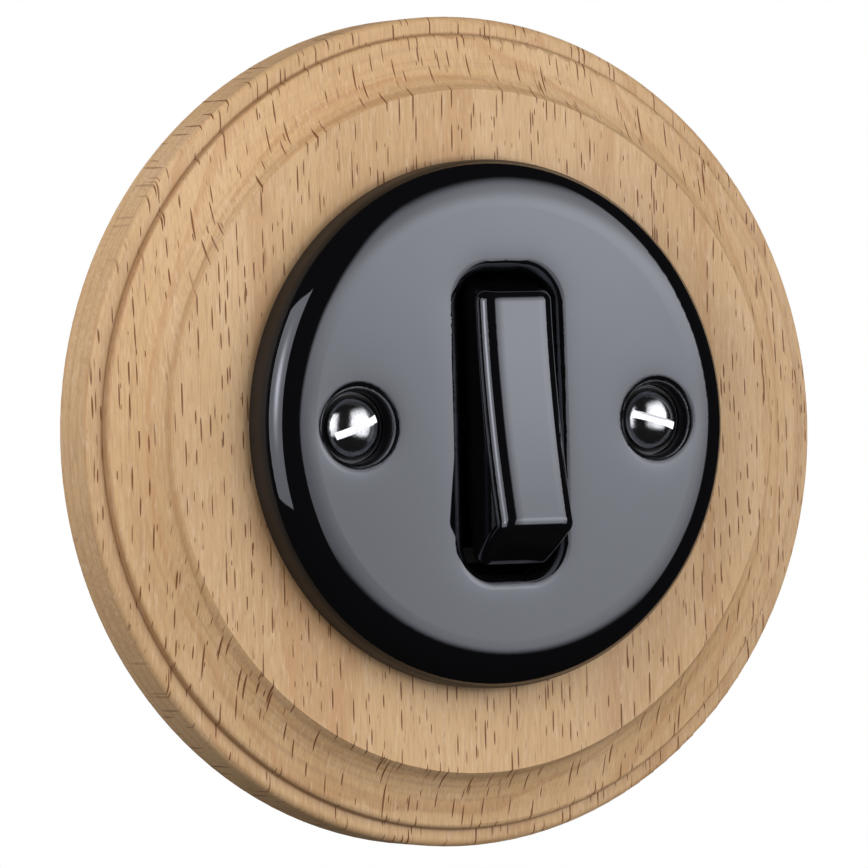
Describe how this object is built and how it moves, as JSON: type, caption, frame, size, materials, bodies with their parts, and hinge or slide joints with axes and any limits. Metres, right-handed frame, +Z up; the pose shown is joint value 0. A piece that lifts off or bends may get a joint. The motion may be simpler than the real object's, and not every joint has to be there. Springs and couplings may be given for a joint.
{
  "type": "ceramic light switch",
  "caption": "Round flush-mounted wall rocker switch: black glazed ceramic cover and rocker held by slotted screws over a turned beech frame, with contacts and terminals behind.",
  "frame": {"origin": "on the switch axis, in the wall plane where the back of the support ring and of the wooden frame lie", "axes": "+Z up the wall, -Y out of the wall towards the user, +X to the right as seen from the front"},
  "size_m": [0.12, 0.054, 0.12],
  "materials": {
    "beech": "oiled",
    "black_glaze": "high gloss glaze",
    "nickel": "polished",
    "black_nylon": "satin",
    "white_nylon": "satin",
    "black_phenolic": "moulded",
    "brass": "plain",
    "copper": "plain",
    "silver": "plain",
    "zinc_steel": "zinc plated",
    "spring_steel": "plain"
  },
  "bodies": {
    "housing": {"wooden_frame": "beech", "ceramic_cover": "black_glaze", "cover_screws": "nickel", "cover_screw_washers": "black_nylon", "cover_posts": "brass", "support_ring": "zinc_steel", "switch_base": "black_phenolic", "base_screws": "zinc_steel", "upper_terminal": "brass", "lower_terminal": "brass", "common_terminal": "brass", "fixed_contact_tips": "silver", "terminal_clamps": "zinc_steel", "terminal_screws": "zinc_steel", "pivot_pin": "spring_steel"},
    "rocker": {"rocker": "black_glaze", "rocker_carrier": "black_nylon", "plunger": "white_nylon", "plunger_spring": "spring_steel"},
    "contact_blade": {"contact_blade": "copper", "moving_contact_tips": "silver"}
  },
  "joints": [
    {"name": "rocker_hinge", "type": "hinge", "parent": "housing", "child": "rocker", "pos_m": [0, -0.0166, 0], "axis": [1, 0, 0], "range_deg": [0, 17]},
    {"name": "contact_hinge", "type": "hinge", "parent": "housing", "child": "contact_blade", "pos_m": [0, -0.00012, 0], "axis": [1, 0, 0], "range_deg": [-10.2, 0]}
  ],
  "couplings": [
    {"joint": "contact_hinge", "follows": "rocker_hinge", "ratio": -0.6}
  ]
}
